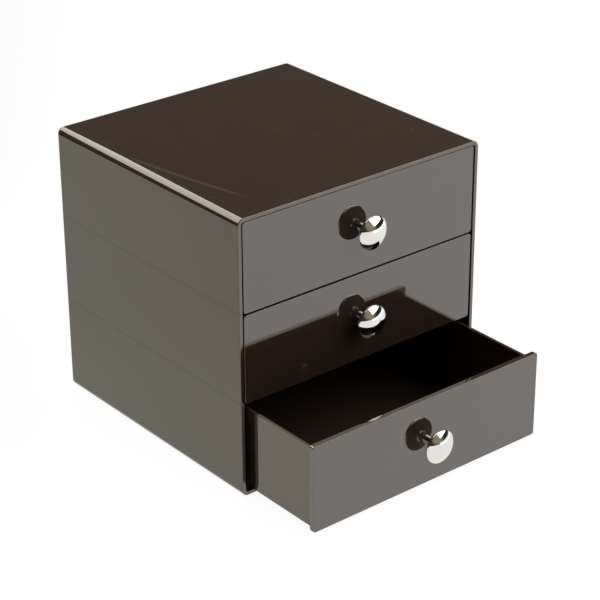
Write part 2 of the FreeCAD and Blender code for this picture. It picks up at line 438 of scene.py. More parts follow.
@dataclass(frozen=True)
class PolishedPlastic(Finish):
    """Dark moulded plastic with a mirror polish, a faint waviness and small marks.

    What faces the front has a refraction and a reflection tint of its own, and the sides and top a
    warm
    reflection tint: a painted reflection, brighter and pinker on the fronts and warmer on the sides
    and top. They give way over front_edge, in Y of the normal. The haze varies the roughness and
    the mottle varies the colour.
    """

    refraction: float = 1.95
    front_refraction: float = 2.15
    painted_side_reflection_tint: Colour = (1.0, 0.91, 0.68)
    painted_front_reflection_tint: Colour = (1.0, 0.962, 0.945)
    front_edge: Span = (-0.92, -0.75)
    roughness: float = 0.045
    haze: Grain = Grain(140.0, 6.0)
    haze_factors: Span = (0.6, 1.4)
    mottle: Grain = Grain(55.0, 4.0)
    mottle_factors: Span = (0.9, 1.1)
    waves: Grain = Grain(16.0, 1.0)
    wave_depth: float = 0.035 * MM
    peel: Grain = Grain(900.0, 2.0)
    peel_depth: float = 0.0006 * MM
    marks: tuple[Dust | PaintedRippleSheen, ...] = ()
    sinks: SinkMarks | None = None

    def material(self) -> bpy.types.Material:
        """Builds the material."""
        made, graph, shader, place = self.start()
        colour = self.mottled(graph, graph.noise(place, self.mottle), self.mottle_factors)
        for mark in self.marks:
            colour = mark.over(graph, place, colour)
        # Facing mask of the painted reflection: fronts get a higher refraction and a pinker tint,
        # sides and top a warmer tint.
        painted_reflection_side = graph.smooth_step(graph.axes(graph.coordinates("Normal"))["Y"], *self.front_edge)
        refraction = graph.spread(painted_reflection_side, self.front_refraction, self.refraction)
        waves = graph.bump(graph.noise(place, self.waves), self.wave_depth)
        normal = graph.bump(graph.noise(place, self.peel), self.peel_depth, waves)
        if self.sinks is not None:
            normal = self.sinks.sunk(graph, place, normal)
            refraction = self.sinks.dimmed_refraction(graph, place, refraction)
        roughness = graph.vary(graph.noise(place, self.haze), self.roughness, self.haze_factors)
        graph.feed(shader["Base Color"], colour)
        graph.feed(shader["Roughness"], roughness)
        graph.feed(shader["IOR"], refraction)
        graph.feed(shader["Specular Tint"], graph.blend(painted_reflection_side, self.painted_front_reflection_tint, self.painted_side_reflection_tint))
        graph.feed(shader["Normal"], normal)
        return made


@dataclass(frozen=True)
class ChromePlate(Finish):
    """Bright plated metal with a trace of polishing haze and a darker, rougher back that faces the
    panel.

    The back comes in over back_edge, in Y of the normal.
    """

    roughness: float = 0.03
    haze: Grain = Grain(900.0, 5.0)
    haze_factors: Span = (0.4, 1.6)
    back_edge: Span = (0.90, 0.97)
    back_roughness: float = 0.38
    back_shade: float = 0.45
    tarnish: Grain = Grain(260.0, 4.0)
    tarnish_share: float = 0.05
    ripple: Grain = Grain(400.0, 1.0)
    ripple_depth: float = 0.002 * MM

    def material(self) -> bpy.types.Material:
        """Builds the material."""
        made, graph, shader, place = self.start()
        back = graph.smooth_step(graph.axes(graph.coordinates("Normal"))["Y"], *self.back_edge)
        tarnish = graph.math("MULTIPLY", graph.noise(place, self.tarnish), self.tarnish_share)
        dull = graph.math("MAXIMUM", back, tarnish)
        colour = graph.blend(dull, self.colour, self.shade(self.back_shade))
        polished = graph.vary(graph.noise(place, self.haze), self.roughness, self.haze_factors)
        rough_back = graph.math("MULTIPLY", back, self.back_roughness)
        normal = graph.bump(graph.noise(place, self.ripple), self.ripple_depth)
        graph.feed(shader["Metallic"], 1.0)
        graph.feed(shader["Base Color"], colour)
        graph.feed(shader["Roughness"], graph.math("ADD", polished, rough_back))
        graph.feed(shader["Normal"], normal)
        return made


@dataclass(frozen=True)
class FineGrain(Finish):
    """A finish with one grain in its colour, its roughness and its relief."""

    metallic: float
    roughness: float
    grain: Grain
    depth: float
    shades: Span
    roughness_factors: Span

    def material(self) -> bpy.types.Material:
        """Builds the material."""
        made, graph, shader, place = self.start()
        grain = graph.noise(place, self.grain)
        graph.feed(shader["Metallic"], self.metallic)
        graph.feed(shader["Base Color"], self.mottled(graph, grain, self.shades))
        graph.feed(shader["Roughness"], graph.vary(grain, self.roughness, self.roughness_factors))
        graph.feed(shader["Normal"], graph.bump(grain, self.depth))
        return made


@dataclass(frozen=True)
class ZincSteel(FineGrain):
    """Zinc plated steel with fine turning marks."""

    metallic: float = 1.0
    roughness: float = 0.3
    grain: Grain = Grain(1400.0, 4.0)
    depth: float = 0.01 * MM
    shades: Span = (0.8, 1.1)
    roughness_factors: Span = (0.7, 1.3)


@dataclass(frozen=True)
class SoftRubber(FineGrain):
    """Matt rubber with a fine grain."""

    metallic: float = 0.0
    roughness: float = 0.8
    grain: Grain = Grain(2500.0, 3.0)
    depth: float = 0.03 * MM
    shades: Span = (0.8, 1.2)
    roughness_factors: Span = (0.85, 1.0)


@dataclass(frozen=True)
class Palette:
    """The finishes of the whole organizer, made once."""

    casing: bpy.types.Material
    face: bpy.types.Material
    tray: bpy.types.Material
    chrome: bpy.types.Material
    steel: bpy.types.Material
    rubber: bpy.types.Material

    @staticmethod
    def mixed(top: float, runner_heights: tuple[float, ...]) -> "Palette":
        """Makes every finish.

        Args:
            top: height of the casing's top.
            runner_heights: middle of each pair of runners, where the sides have sink marks.

        Returns:
            The palette.
        """
        espresso = (0.030, 0.0185, 0.0130)
        # The trays get a paler brown than the casing: painted light that lifts the dim inside of an
        # open drawer.
        painted_light_espresso = (0.040, 0.027, 0.0205)
        chrome = (0.765, 0.745, 0.712)
        zinc = (0.5, 0.5, 0.48)
        black = (0.03, 0.03, 0.03)
        casing_gloss = PolishedPlastic(
            "casing_gloss",
            espresso,
            refraction=1.80,
            marks=(Dust(), PaintedRippleSheen(top)),
            sinks=SinkMarks(runner_heights),
        )
        face_gloss = PolishedPlastic("face_gloss", espresso, refraction=2.10, wave_depth=0.02 * MM)
        # Paler brown on the trays: painted light for the inside of the drawer.
        tray_gloss = PolishedPlastic("tray_gloss", painted_light_espresso, refraction=1.90, roughness=0.03)
        return Palette(
            casing=casing_gloss.material(),
            face=face_gloss.material(),
            tray=tray_gloss.material(),
            chrome=ChromePlate("knob_chrome", chrome).material(),
            steel=ZincSteel("zinc_steel", zinc).material(),
            rubber=SoftRubber("pad_rubber", black).material(),
        )


# ---- mesh work --------------------------------------------------------------------------
Edges = list[bmesh.types.BMEdge]
Faces = list[bmesh.types.BMFace]
Verts = list[bmesh.types.BMVert]


@dataclass(frozen=True)
class Rounding:
    """A rounded edge or corner: its radius and its steps."""

    radius: float
    segments: int


class Shaper:
    """A bmesh with the operations that the pieces are made from."""

    def __init__(self) -> None:
        """Starts an empty mesh."""
        self.mesh = bmesh.new()

    def block(self, low: Vector, high: Vector) -> Verts:
        """Adds a box.

        Args:
            low: its lowest corner.
            high: its highest corner.

        Returns:
            The box's corners.
        """
        corners = bmesh.ops.create_cube(self.mesh, size=1.0)["verts"]
        size = high - low
        bmesh.ops.scale(self.mesh, vec=size, verts=corners)
        bmesh.ops.translate(self.mesh, vec=(low + high) / 2, verts=corners)
        return corners

    @staticmethod
    def edges_of(verts: Iterable[bmesh.types.BMVert]) -> Edges:
        """Every edge that ends on one of the vertices, each once."""
        return list({edge for vert in verts for edge in vert.link_edges})

    @staticmethod
    def faces_of(verts: Iterable[bmesh.types.BMVert]) -> Faces:
        """Every face that touches one of the vertices, each once."""
        return list({face for vert in verts for face in vert.link_faces})

    @staticmethod
    def along(edges: Iterable[bmesh.types.BMEdge], axis: Axis) -> Edges:
        """The edges that run along an axis."""
        others = [other.value for other in Axis if other is not axis]
        return [
            edge
            for edge in edges
            if all(abs(edge.verts[0].co[i] - edge.verts[1].co[i]) < ON_PLANE for i in others)
        ]

    @staticmethod
    def in_plane(edges: Iterable[bmesh.types.BMEdge], axis: Axis, position: float) -> Edges:
        """The edges with both ends at one value of a coordinate."""
        return [
            edge
            for edge in edges
            if all(abs(vert.co[axis.value] - position) < ON_PLANE for vert in edge.verts)
        ]

    def facing(self, direction: Vector, faces: Iterable[bmesh.types.BMFace]) -> bmesh.types.BMFace:
        """The face whose normal is nearest to a direction, the largest if several are."""
        self.mesh.normal_update()
        return max(faces, key=lambda face: (round(face.normal.dot(direction), 3), face.calc_area()))

    def round_off(self, edges: Edges, rounding: Rounding) -> Verts:
        """Rounds edges.

        Args:
            edges: the edges.
            rounding: how they are rounded.

        Returns:
            The new vertices.
        """
        return bmesh.ops.bevel(
            self.mesh,
            geom=edges,
            offset=rounding.radius,
            offset_type="OFFSET",
            affect="EDGES",
            segments=rounding.segments,
            profile=0.5,
            material=-1,
            clamp_overlap=True,
        )["verts"]

    def swept(self, face: bmesh.types.BMFace, travel: Vector) -> Verts:
        """Copies a face to another place and walls the way between.

        Args:
            face: the face, which stays.
            travel: how far the copy goes.

        Returns:
            The copy's vertices.
        """
        made = bmesh.ops.extrude_face_region(self.mesh, geom=[face], use_keep_orig=True)["geom"]
        verts = [item for item in made if isinstance(item, bmesh.types.BMVert)]
        bmesh.ops.translate(self.mesh, vec=travel, verts=verts)
        return verts

    def sink(self, face: bmesh.types.BMFace, travel: Vector) -> None:
        """Pushes a face in and leaves it open where it was.

        Args:
            face: the face.
            travel: how far it goes.
        """
        self.swept(face, travel)
        bmesh.ops.delete(self.mesh, geom=[face], context="FACES_ONLY")

    def ring(self, outer: Edges, inner: Edges) -> None:
        """Fills the level ring between two loops with equally many corners.

        Args:
            outer: the edges of the outer loop.
            inner: the edges of the inner loop.
        """
        around, within = self._turn_order(outer), self._turn_order(inner)
        for i, corner in enumerate(around):
            self.mesh.faces.new((around[i - 1], corner, within[i], within[i - 1]))
        bmesh.ops.recalc_face_normals(self.mesh, faces=self.mesh.faces)

    @staticmethod
    def _turn_order(loop: Edges) -> Verts:
        """The loop's corners in order round its middle."""
        corners = {vert for edge in loop for vert in edge.verts}
        middle = sum((vert.co for vert in corners), Vector()) / len(corners)
        return sorted(
            corners, key=lambda vert: math.atan2(vert.co.y - middle.y, vert.co.x - middle.x)
        )

    def prism(self, outline: list[Vector], travel: Vector) -> Verts:
        """Adds a solid swept straight from a flat outline.

        Args:
            outline: the outline's corners in order.
            travel: direction and length of the sweep.

        Returns:
            The solid's vertices.
        """
        start = [self.mesh.verts.new(point) for point in outline]
        return start + self.swept(self.mesh.faces.new(start), travel)

    def turned(self, profile: list[Vector], centre: Vector, axis: Vector, steps: int) -> None:
        """Adds a solid spun from a profile that starts and ends on the axis.

        Args:
            profile: the profile's points in order.
            centre: a point on the axis.
            axis: the axis's direction.
            steps: flats round the axis.
        """
        verts = [self.mesh.verts.new(point) for point in profile]
        edges = [self.mesh.edges.new(pair) for pair in zip(verts, verts[1:])]
        bmesh.ops.spin(
            self.mesh,
            geom=verts + edges,
            cent=centre,
            axis=axis,
            angle=math.tau,
            steps=steps,
            use_merge=True,
            use_duplicate=False,
        )

    def piece(self, name: str, material: bpy.types.Material) -> bpy.types.Object:
        """Closes the mesh and makes an object of it.

        Args:
            name: the object's name.
            material: its finish.

        Returns:
            The new object.
        """
        bmesh.ops.remove_doubles(self.mesh, verts=self.mesh.verts, dist=SEAM)
        bmesh.ops.recalc_face_normals(self.mesh, faces=self.mesh.faces)
        for face in self.mesh.faces:
            face.smooth = True
        data = bpy.data.meshes.new(name)
        self.mesh.to_mesh(data)
        self.mesh.free()
        data.set_sharp_from_angle(angle=math.radians(SHARP_DEGREES))
        data.materials.append(material)
        made = bpy.data.objects.new(name, data)
        bpy.context.scene.collection.objects.link(made)
        normals = made.modifiers.new("even_normals", "WEIGHTED_NORMAL")
        normals.keep_sharp = True
        LOG.info("%s: %d faces", name, len(data.polygons))
        return made


def dress_solid(node: bpy.types.Object, material: bpy.types.Material) -> None:
    """Gives a solid that keeps its own mesh a finish and smooth round faces.

    Args:
        node: the solid's object.
        material: its finish.
    """
    for slot in node.material_slots:
        slot.material = material
    for polygon in node.data.polygons:
        polygon.use_smooth = True
    weld = node.modifiers.new("weld", "WELD")
    weld.merge_threshold = SOLID_SEAM
    split = node.modifiers.new("crisp_edges", "EDGE_SPLIT")
    split.split_angle = math.radians(SOLID_SHARP_DEGREES)
    LOG.info("%s: keeps its solid", node.name)


def stand_for(piece: bpy.types.Object, node: str, body: str) -> None:
    """Puts a modelled piece in the place of a solid.

    Args:
        piece: the modelled piece.
        node: the solid's node.
        body: the body that it moves with.
    """
    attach(piece, body)
    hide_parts(node)


def arc(centre: Vector, start: Vector, end: Vector, steps: int) -> list[Vector]:
    """Points along the shorter arc from start to end, without the start.

    Args:
        centre: the arc's centre.
        start: where it starts.
        end: where it ends.
        steps: how many points it gets.

    Returns:
        The points in order.
    """
    first = start - centre
    last = end - centre
    turns = [first.slerp(last, step / steps).normalized() for step in range(1, steps + 1)]
    return [centre + turn * first.length for turn in turns]


# ---- casing -----------------------------------------------------------------------------
@dataclass
class Casing:
    """The moulded casing with its runners and the pads under its base."""

    palette: Palette
    wall: float = 2.3 * MM
    runner_overlap: float = 0.23 * MM
    long_edge: Rounding = Rounding(4.0 * MM, 12)
    back_edge: Rounding = Rounding(1.5 * MM, 5)
    rim_outer_edge: Rounding = Rounding(0.4 * MM, 3)
    rim_inner_edge: Rounding = Rounding(0.3 * MM, 3)

    def build(self) -> None:
        """Builds the casing and dresses the pads."""
        stand_for(self.shell(), "casing_shell", "casing")
        for end in ("front", "back"):
            for side in ("left", "right"):
                pad = bpy.data.objects[f"bumper_pad_{end}_{side}"]
                dress_solid(pad, self.palette.rubber)

    def shell(self) -> bpy.types.Object:
        """Builds the box, open at the front, with its runners.

        Returns:
            The casing's object.
        """
        low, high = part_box("casing_shell")
        shaper = Shaper()
        corners = shaper.block(low, high)
        long_edges = shaper.along(shaper.edges_of(corners), Axis.Y)
        shaper.round_off(long_edges, self.long_edge)
        back_edges = shaper.in_plane(shaper.mesh.edges, Axis.Y, high.y)
        shaper.round_off(back_edges, self.back_edge)
        front = shaper.facing(Vector((0, -1, 0)), shaper.mesh.faces)
        outer_rim = list(front.edges)
        bmesh.ops.inset_region(
            shaper.mesh, faces=[front], thickness=self.wall, use_even_offset=True
        )
        front = shaper.facing(Vector((0, -1, 0)), shaper.mesh.faces)
        inner_rim = list(front.edges)
        shaper.sink(front, Vector((0, high.y - low.y - self.wall, 0)))
        shaper.round_off(outer_rim, self.rim_outer_edge)
        shaper.round_off(inner_rim, self.rim_inner_edge)
        for level in Level:
            for side in (-1, 1):
                self.runner(shaper, side, level)
        return shaper.piece("casing", self.palette.casing)

    def runner(self, shaper: Shaper, side: int, level: Level) -> None:
        """Adds one stepped runner to a side wall.

        Args:
            shaper: the casing's mesh.
            side: -1 for the left wall and 1 for the right.
            level: the drawer that it carries.
        """
        runner = Runner.under(level)
        low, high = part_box("casing_shell")
        root = self.wall - self.runner_overlap
        wall_x = side * ((high.x - low.x) / 2 - root)
        outline = [
            (wall_x, runner.underside),
            (side * runner.nose, runner.underside),
            (side * runner.nose, runner.shelf),
            (side * runner.shoulder, runner.shelf),
            (side * runner.shoulder, runner.shoulder_top),
            (wall_x, runner.shoulder_top),
        ]
        back = high.y - root
        verts = shaper.prism(
            [Vector((x, runner.front, z)) for x, z in outline],
            Vector((0, back - runner.front, 0)),
        )
        nose_edges = [
            edge
            for edge in shaper.edges_of(verts)
            if all(abs(abs(vert.co.x) - abs(runner.nose)) < ON_PLANE for vert in edge.verts)
        ]
        shaper.round_off(nose_edges, runner.nose_edge)


@dataclass(frozen=True)
class Runner:
    """Sizes of the pair of runners under one drawer."""

    front: float
    shelf: float
    nose: float
    shoulder: float
    thickness: float = 2.2 * MM
    guide_height: float = 2.5 * MM
    nose_edge: Rounding = Rounding(0.3 * MM, 2)

    @property
    def underside(self) -> float:
        """Lowest height of the runner."""
        return self.shelf - self.thickness

    @property
    def shoulder_top(self) -> float:
        """Highest height of the runner."""
        return self.shelf + self.guide_height

    @staticmethod
    def under(level: Level) -> "Runner":
        """Works out the runners of a drawer from its tray.

        Args:
            level: the drawer.

        Returns:
            The runners' sizes.
        """
        bearing = 4.3 * MM
        guide_clearance = 0.4 * MM
        stop_clearance = 0.2 * MM
        low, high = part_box(f"drawer_tray_{level.value}")
        closed_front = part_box("drawer_face_top")[1].y
        return Runner(
            front=closed_front + stop_clearance,
            shelf=low.z,
            nose=high.x - bearing,
            shoulder=high.x + guide_clearance,
        )


# ---- drawers ----------------------------------------------------------------------------
@dataclass
class Drawer:
    """One drawer: its tray, face panel, knob, screw and washer.

    The tray's outer and pocket corners have equal steps, so that its rim closes.
    """

    level: Level
    palette: Palette
    tray_wall: float = 2.0 * MM
    tray_floor: float = 2.0 * MM
    tray_draft: float = 0.47 * MM
    back_corner: Rounding = Rounding(4.0 * MM, 10)
    front_corner: Rounding = Rounding(1.0 * MM, 6)
    pocket_back_corner: Rounding = Rounding(3.0 * MM, 10)
    pocket_front_corner: Rounding = Rounding(3.0 * MM, 6)
    tray_bottom_edge: Rounding = Rounding(1.5 * MM, 5)
    tray_floor_edge: Rounding = Rounding(1.2 * MM, 4)
    tray_rim_edge: Rounding = Rounding(0.2 * MM, 3)
    face_corner: Rounding = Rounding(1.5 * MM, 6)
    face_front_edge: Rounding = Rounding(0.2 * MM, 3)
    face_back_edge: Rounding = Rounding(0.2 * MM, 2)

    @property
    def body(self) -> str:
        """Name of the body that the drawer moves with."""
        return f"drawer_{self.level.value}"

    def build(self) -> None:
        """Builds the drawer's pieces and dresses its fasteners."""
        level = self.level.value
        stand_for(self.tray(), f"drawer_tray_{level}", self.body)
        stand_for(self.face(), f"drawer_face_{level}", self.body)
        knob = Knob.on(f"knob_{level}").turned(f"pull_knob_{level}", self.palette.chrome)
        stand_for(knob, f"knob_{level}", self.body)
        for fastener in ("knob_screw", "knob_washer"):
            dress_solid(bpy.data.objects[f"{fastener}_{level}"], self.palette.steel)

    def face(self) -> bpy.types.Object:
        """Builds the flat face panel with rounded corners and softened edges.

        Returns:
            The panel's object.
        """
        low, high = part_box(f"drawer_face_{self.level.value}")
        shaper = Shaper()
        corners = shaper.block(low, high)
        across = shaper.along(shaper.edges_of(corners), Axis.Y)
        shaper.round_off(across, self.face_corner)
        front = shaper.in_plane(shaper.mesh.edges, Axis.Y, low.y)
        shaper.round_off(front, self.face_front_edge)
        back = shaper.in_plane(shaper.mesh.edges, Axis.Y, high.y)
        shaper.round_off(back, self.face_back_edge)
        return shaper.piece(f"face_{self.level.value}", self.palette.face)

    def tray(self) -> bpy.types.Object:
        """Builds the open tray: an outer box and a drafted pocket, joined round the rim.

        Returns:
            The tray's object.
        """
        low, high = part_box(f"drawer_tray_{self.level.value}")
        shaper = Shaper()
        outer_rim = self._outer_skin(shaper, low, high)
        pocket_rim = self._pocket(shaper, low, high)
        shaper.ring(outer_rim, pocket_rim)
        shaper.round_off(outer_rim + pocket_rim, self.tray_rim_edge)
        return shaper.piece(f"tray_{self.level.value}", self.palette.tray)

    def _round_corners(
        self, shaper: Shaper, corners: Verts, at_back: Rounding, at_front: Rounding
    ) -> Verts:
        """Rounds a box's four upright edges.

        Args:
            shaper: the tray's mesh.
            corners: the box's corners.
            at_back: rounding of the two edges at the back.
            at_front: rounding of the two edges at the front.

        Returns:
            The new vertices.
        """
        middle = sum(vert.co.y for vert in corners) / len(corners)
        upright = [
            edge
            for edge in shaper.edges_of(corners)
            if abs(edge.verts[0].co.z - edge.verts[1].co.z) > self.tray_floor
        ]
        back = [edge for edge in upright if edge.verts[0].co.y > middle]
        front = [edge for edge in upright if edge not in back]
        return shaper.round_off(back, at_back) + shaper.round_off(front, at_front)

    def _outer_skin(self, shaper: Shaper, low: Vector, high: Vector) -> Edges:
        """Adds the tray's outer box, open at the top.

        Args:
            shaper: the tray's mesh.
            low: the tray's lowest corner.
            high: the tray's highest corner.

        Returns:
            The edges round its open top.
        """
        corners = shaper.block(low, high)
        self._round_corners(shaper, corners, self.back_corner, self.front_corner)
        underside = shaper.in_plane(shaper.mesh.edges, Axis.Z, low.z)
        behind_front = low.y + self.front_corner.radius + ON_PLANE
        rounded = [
            edge
            for edge in underside
            if (edge.verts[0].co.y + edge.verts[1].co.y) / 2 > behind_front
        ]
        shaper.round_off(rounded, self.tray_bottom_edge)
        top = shaper.facing(Vector((0, 0, 1)), shaper.mesh.faces)
        rim = list(top.edges)
        bmesh.ops.delete(shaper.mesh, geom=[top], context="FACES_ONLY")
        return rim

    def _pocket(self, shaper: Shaper, low: Vector, high: Vector) -> Edges:
        """Adds the tray's inside, open at the top and narrower towards its floor.

        Args:
            shaper: the tray's mesh.
            low: the tray's lowest corner.
            high: the tray's highest corner.

        Returns:
            The edges round its open top.
        """
        wall = Vector((self.tray_wall, self.tray_wall, 0))
        corners = shaper.block(low + wall + Vector((0, 0, self.tray_floor)), high - wall)
        for vert in corners:
            if vert.co.z < high.z - ON_PLANE:
                vert.co.x -= math.copysign(self.tray_draft, vert.co.x)
                if vert.co.y > (low.y + high.y) / 2:
                    vert.co.y -= self.tray_draft
        rounded = self._round_corners(
            shaper, corners, self.pocket_back_corner, self.pocket_front_corner
        )
        skin = shaper.faces_of(rounded)
        floor = shaper.facing(Vector((0, 0, -1)), skin)
        lid = shaper.facing(Vector((0, 0, 1)), skin)
        rim = list(lid.edges)
        bmesh.ops.delete(shaper.mesh, geom=[lid], context="FACES_ONLY")
        shaper.round_off(list(floor.edges), self.tray_floor_edge)
        return rim


@dataclass(frozen=True)
class Knob:
    """A turned mushroom knob that stands out from a face towards -Y."""

    foot: Vector
    radius: float
    projection: float
    neck_radius: float = 2.6 * MM
    back_out: float = 6.4 * MM
    back_fillet: float = 1.3 * MM
    rim_out: float = 8.5 * MM
    rim_half: float = 0.9 * MM
    fillet_steps: int = 8
    bead_steps: int = 6
    dome_steps: int = 20
    flats: int = 96

    @staticmethod
    def on(node: str) -> "Knob":
        """Takes the knob's place and main sizes from its solid."""
        low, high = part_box(node)
        foot = Vector(((low.x + high.x) / 2, high.y, (low.z + high.z) / 2))
        return Knob(foot, (high.x - low.x) / 2, high.y - low.y)

    def profile(self) -> list[Vector]:
        """Works out the turned profile, from the middle of the foot to the crown.

        Returns:
            Points with the radius in X and the distance out from the face in Y.
        """
        bead = self.radius - self.rim_half / 2
        neck = Vector((self.neck_radius, 0, 0))
        rim_back = Vector((bead, self.rim_out - self.rim_half, 0))
        rim = Vector((self.radius, self.rim_out, 0))
        rim_front = Vector((bead, self.rim_out + self.rim_half, 0))
        crown = Vector((0, self.projection, 0))
        points = [Vector((0, 0, 0)), neck, *self.fillet(neck, rim_back), rim_back]
        bead_centre = Vector((self.three_point_centre(rim_back, rim), self.rim_out, 0))
        points += arc(bead_centre, rim_back, rim, self.bead_steps)
        points += arc(bead_centre, rim, rim_front, self.bead_steps)
        rise = crown.y - rim_front.y
        dome = (bead**2 + rise**2) / (2 * rise)
        points += arc(Vector((0, crown.y - dome, 0)), rim_front, crown, self.dome_steps)
        return points

    def fillet(self, neck: Vector, rim_back: Vector) -> list[Vector]:
        """Rounds the inner corner between the neck and the back of the head.

        Args:
            neck: a point on the neck.
            rim_back: where the head's back ends at the rim.

        Returns:
            The arc's points, with both its ends.
        """
        corner = Vector((self.neck_radius, self.back_out, 0))
        along_neck = (neck - corner).normalized()
        along_back = (rim_back - corner).normalized()
        half_angle = along_neck.angle(along_back) / 2
        reach = self.back_fillet / math.tan(half_angle)
        depth = self.back_fillet / math.sin(half_angle)
        centre = corner + (along_neck + along_back).normalized() * depth
        start = corner + along_neck * reach
        end = corner + along_back * reach
        return [start, *arc(centre, start, end, self.fillet_steps)]

    @staticmethod
    def three_point_centre(side: Vector, rim: Vector) -> float:
        """Radius coordinate of the centre of the bead that passes both points."""
        inward = rim.x - side.x
        along = rim.y - side.y
        return rim.x - (inward**2 + along**2) / (2 * inward)

    def turned(self, name: str, material: bpy.types.Material) -> bpy.types.Object:
        """Spins the profile about the knob's axis.

        Args:
            name: the object's name.
            material: its finish.

        Returns:
            The knob's object.
        """
        shaper = Shaper()
        points = [self.foot + Vector((point.x, -point.y, 0)) for point in self.profile()]
        shaper.turned(points, self.foot, Vector((0, 1, 0)), self.flats)
        return shaper.piece(name, material)


# ---- studio -----------------------------------------------------------------------------
def heading(azimuth: float, elevation: float) -> Vector:
    """Direction at an azimuth from +Y towards +X and a height over the horizon, in degrees."""
    turn, rise = math.radians(azimuth), math.radians(elevation)
    return Vector(
        (math.sin(turn) * math.cos(rise), math.cos(turn) * math.cos(rise), math.sin(rise))
    )


@dataclass(frozen=True)
class Softbox:
    """A soft rectangular lamp that looks at the object."""

    name: str
    azimuth: float
    elevation: float
    distance: float
    width: float
    height: float
    radiance: float
    colour: Colour = (1.0, 1.0, 1.0)
    target: tuple[float, float, float] = (0.0, 0.0, 0.1)

    def hang(self) -> None:
        """Hangs the lamp in the scene."""
        data = bpy.data.lights.new(self.name, "AREA")
        data.shape = "RECTANGLE"
        data.size = self.width
        data.size_y = self.height
        data.color = self.colour
        data.energy = self.radiance * math.pi * self.width * self.height
        away = heading(self.azimuth, self.elevation)
        lamp = bpy.data.objects.new(self.name, data)
        lamp.location = Vector(self.target) + away * self.distance
        lamp.rotation_euler = away.to_track_quat("Z", "Y").to_euler()
        lamp.visible_camera = False
        bpy.context.scene.collection.objects.link(lamp)


@dataclass(frozen=True)
class Floor:
    """A wide pale floor that looks white and still keeps the object's shadow.

    Its glow is painted light, stronger near the object: along the level direction away, near turns
    to far over fall, so the floor glows less to the back left. In mirrors the floor takes its
    left_tint over tint and ends over sheet_end. The lift is what the camera alone sees more.
    """

    height: float
    size: float = 12.0
    white: Colour = (0.86, 0.86, 0.86)
    matt_share: float = 0.16
    away: tuple[float, float, float] = (-0.850, 0.528, 0.0)
    near_glow: float = 0.93
    far_glow: float = 0.82
    near_lift: float = 0.012
    far_lift: float = 0.058
    fall: Span = (0.06, 0.25)
    left_tint: Colour = (0.99, 1.0, 0.965)
    tint: Span = (0.0, 0.10)
    sheet_end: Span = (0.50, 0.80)

    def lay(self) -> None:
        """Makes the floor and its material."""
        mesh = bmesh.new()
        bmesh.ops.create_grid(mesh, x_segments=1, y_segments=1, size=self.size)
        bmesh.ops.translate(mesh, vec=(0, 0, self.height), verts=mesh.verts)
        data = bpy.data.meshes.new("floor")
        mesh.to_mesh(data)
        mesh.free()
        data.materials.append(self.material())
        floor = bpy.data.objects.new("floor", data)
        bpy.context.scene.collection.objects.link(floor)
        floor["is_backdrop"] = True

    def material(self) -> bpy.types.Material:
        """Lays a soft glow over a matt layer.

        Returns:
            The floor's material.
        """
        made = bpy.data.materials.new("pale_floor")
        made.use_nodes = True
        graph = Graph(made.node_tree)
        ray = graph.node("ShaderNodeLightPath").outputs
        watched = graph.math("ADD", ray["Is Camera Ray"], ray["Is Glossy Ray"])
        watched = graph.math("ADD", watched, ray["Is Transmission Ray"], clamp=True)
        away = graph.vector_math("DOT_PRODUCT", graph.coordinates("Object"), self.away)["Value"]
        matt = self._matt(graph, watched)
        glow = self._glow(graph, away, watched, ray["Is Camera Ray"])
        both = graph.node("ShaderNodeAddShader", {0: matt, 1: glow})
        graph.node("ShaderNodeOutputMaterial", {"Surface": both.outputs["Shader"]})
        return made

    def _matt(self, graph: Graph, watched: Socket) -> Socket:
        """Makes the matt layer, which the camera and mirrors see only in part.

        Args:
            graph: the floor's graph.
            watched: 1 for what the camera or a mirror sees.

        Returns:
            The layer's shader.
        """
        white = graph.node("ShaderNodeBsdfDiffuse", {"Color": (*self.white, 1.0)})
        black = graph.node("ShaderNodeBsdfDiffuse", {"Color": (0.0, 0.0, 0.0, 1.0)})
        hidden = graph.math("MULTIPLY", watched, 1.0 - self.matt_share)
        layers = {"Fac": hidden, 1: white.outputs["BSDF"], 2: black.outputs["BSDF"]}
        return graph.node("ShaderNodeMixShader", layers).outputs["Shader"]

    def _glow(self, graph: Graph, away: Socket, watched: Socket, by_camera: Socket) -> Socket:
        """Makes the glow that the camera and mirrors see.

        Args:
            graph: the floor's graph.
            away: distance along the direction in which the glow changes.
            watched: 1 for what the camera or a mirror sees.
            by_camera: 1 for what the camera sees itself.

        Returns:
            The glow's shader.
        """
        # Painted light on the floor: the glow falls off towards the back left and, in mirrors, is
        # tinted and ends.
        far = graph.smooth_step(away, *self.fall)
        on_sheet = graph.flipped(graph.smooth_step(away, *self.sheet_end))
        on_sheet = graph.math("MAXIMUM", on_sheet, by_camera)
        strength = graph.spread(far, self.near_glow, self.far_glow)
        strength = graph.math("MULTIPLY", strength, on_sheet)
        lift = graph.spread(far, self.near_lift, self.far_lift)
        strength = graph.math("ADD", strength, graph.math("MULTIPLY", by_camera, lift))
        left = graph.smooth_step(away, *self.tint)
        tinted = graph.math("MULTIPLY", left, graph.flipped(by_camera))
        glow = graph.node(
            "ShaderNodeEmission",
            {
                "Color": graph.blend(tinted, (1.0, 1.0, 1.0), self.left_tint),
                "Strength": graph.math("MULTIPLY", watched, strength),
            },
        )
        return glow.outputs["Emission"]


@dataclass(frozen=True)
class Patch:
    """A round part of the studio's walls with its own brightness, its angles in degrees."""

    azimuth: float
    elevation: float
    radius: float
    edge: float
    colour: Colour


